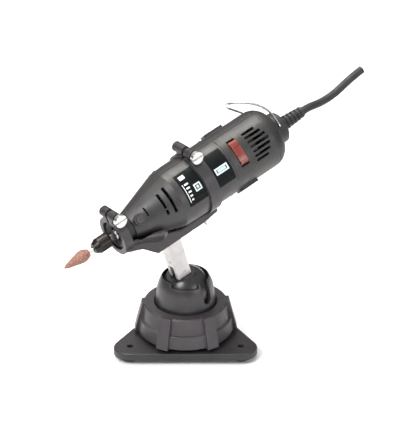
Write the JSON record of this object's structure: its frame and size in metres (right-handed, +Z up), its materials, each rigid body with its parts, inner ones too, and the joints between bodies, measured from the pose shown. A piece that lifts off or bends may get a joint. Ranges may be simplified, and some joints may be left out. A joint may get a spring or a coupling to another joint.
{
  "type": "rotary tool on ball-jointed clamp stand",
  "caption": "Corded rotary tool with a pointed grinding stone, held by clamp rings on an arm and post over a lockable ball joint and a three-cornered base plate.",
  "frame": {"origin": "centre of the circle of mounting holes, at the underside of the rubber feet", "axes": "+Z up along the stand's axis, -Y towards the straight front edge of the plate, +X to the right; the tool's tail points between +X and +Y"},
  "size_m": [0.2597, 0.197, 0.2152],
  "materials": {
    "stand_plastic": "moulded, fine texture",
    "collar_plastic": "moulded, slightly purple grey",
    "socket_plastic": "moulded, satin",
    "rubber": "matt black rubber",
    "ball_plastic": "turned, satin",
    "post_metal": "brushed, clear anodised",
    "screw_steel": "bright plated",
    "holder_plastic": "glass-filled nylon",
    "housing_plastic": "charcoal, fine spark texture",
    "cap_plastic": "charcoal, fine spark texture",
    "label_film": "printed film, plain marks",
    "switch_red": "red moulded",
    "dark_plastic": "black moulded",
    "brass": "machined brass",
    "dark_steel": "blackened steel",
    "steel": "ground steel",
    "copper": "copper, enamelled winding",
    "board_green": "circuit board with two parts",
    "carbon": "pressed carbon",
    "stone_pink": "pink bonded grit",
    "cord_rubber": "flexible black jacket"
  },
  "bodies": {
    "stand": {"base_plate": "stand_plastic", "rubber_feet": "rubber", "pedestal": "stand_plastic", "pedestal_screws": "steel", "socket_cup": "socket_plastic", "pad_spring": "steel"},
    "collar": {"locking_collar": "collar_plastic"},
    "pan": {"friction_pad": "rubber"},
    "post": {"swivel_ball": "ball_plastic", "stem_post": "post_metal", "stem_pin": "post_metal", "post_washer": "steel", "post_screw": "screw_steel"},
    "holder": {"holder_arm": "holder_plastic", "rear_clamp_ring": "holder_plastic", "clamp_inserts": "brass", "ring_screw": "screw_steel"},
    "front_screw": {"front_clamp_screw": "screw_steel"},
    "rear_screw": {"rear_clamp_screw": "screw_steel"},
    "tool": {"housing_near": "housing_plastic", "housing_far": "housing_plastic", "housing_screws": "dark_steel", "label_plates": "label_film", "nose_bushing": "dark_plastic", "rear_cap": "cap_plastic", "speed_board": "board_green", "brush_caps": "dark_plastic", "brush_tubes": "brass", "brush_springs": "steel", "carbon_brushes": "carbon", "stator_core": "steel", "field_coils": "copper", "front_bearing": "steel", "rear_bearing": "steel", "lock_spring": "steel", "strain_relief": "cord_rubber", "power_cord": "cord_rubber"},
    "spindle": {"armature_shaft": "steel", "armature_core": "steel", "armature_windings": "copper", "commutator": "copper", "cooling_fan": "dark_plastic", "collet_nut": "dark_steel", "collet": "steel", "stone_shank": "steel", "grinding_stone": "stone_pink"},
    "switch": {"switch_slider": "dark_plastic", "speed_switch": "switch_red"},
    "lock": {"lock_button": "screw_steel"},
    "hanger": {"hanger_wire": "screw_steel"}
  },
  "joints": [
    {"name": "collar_turn", "type": "hinge", "parent": "stand", "child": "collar", "pos_m": [0, 0, 0.03], "axis": [0, 0, 1], "range_deg": [0, 90]},
    {"name": "pan_turn", "type": "hinge", "parent": "stand", "child": "pan", "pos_m": [0, 0, 0.0528], "axis": [0, 0, 1], "continuous": true},
    {"name": "post_tilt", "type": "hinge", "parent": "pan", "child": "post", "pos_m": [0, 0, 0.0528], "axis": [0.6018, -0.7986, 0], "range_deg": [-41.5, 8.5]},
    {"name": "holder_swivel", "type": "hinge", "parent": "post", "child": "holder", "pos_m": [-0.01248, -0.0094, 0.10554], "axis": [-0.2268, -0.1709, 0.9588], "continuous": true},
    {"name": "tool_roll", "type": "hinge", "parent": "holder", "child": "tool", "pos_m": [-0.02137, -0.0161, 0.14312], "axis": [0.7657, 0.577, 0.284], "continuous": true},
    {"name": "front_screw_turn", "type": "hinge", "parent": "holder", "child": "front_screw", "pos_m": [-0.06162, -0.04644, 0.14957], "axis": [0.6018, -0.7986, 0], "continuous": true},
    {"name": "rear_screw_turn", "type": "hinge", "parent": "holder", "child": "rear_screw", "pos_m": [0.0016, 0.0012, 0.18512], "axis": [0.6018, -0.7986, 0], "continuous": true},
    {"name": "spindle_spin", "type": "hinge", "parent": "tool", "child": "spindle", "pos_m": [-0.02137, -0.0161, 0.14312], "axis": [0.7657, 0.577, 0.284], "continuous": true},
    {"name": "switch_slide", "type": "hinge", "parent": "tool", "child": "switch", "pos_m": [-0.02137, -0.0161, 0.14312], "axis": [0.7657, 0.577, 0.284], "range_deg": [-4, 4]},
    {"name": "lock_press", "type": "slide", "parent": "tool", "child": "lock", "axis": [-0.3629, 0.7522, -0.55], "range_m": [0, 0.002], "stiffness_N_per_m": 400, "springref_m": -0.001, "deforming": ["lock_spring"]},
    {"name": "hanger_swing", "type": "hinge", "parent": "tool", "child": "hanger", "pos_m": [0.07665, 0.05776, 0.17947], "axis": [0.3152, -0.7217, 0.6163], "range_deg": [-100, 8]}
  ]
}
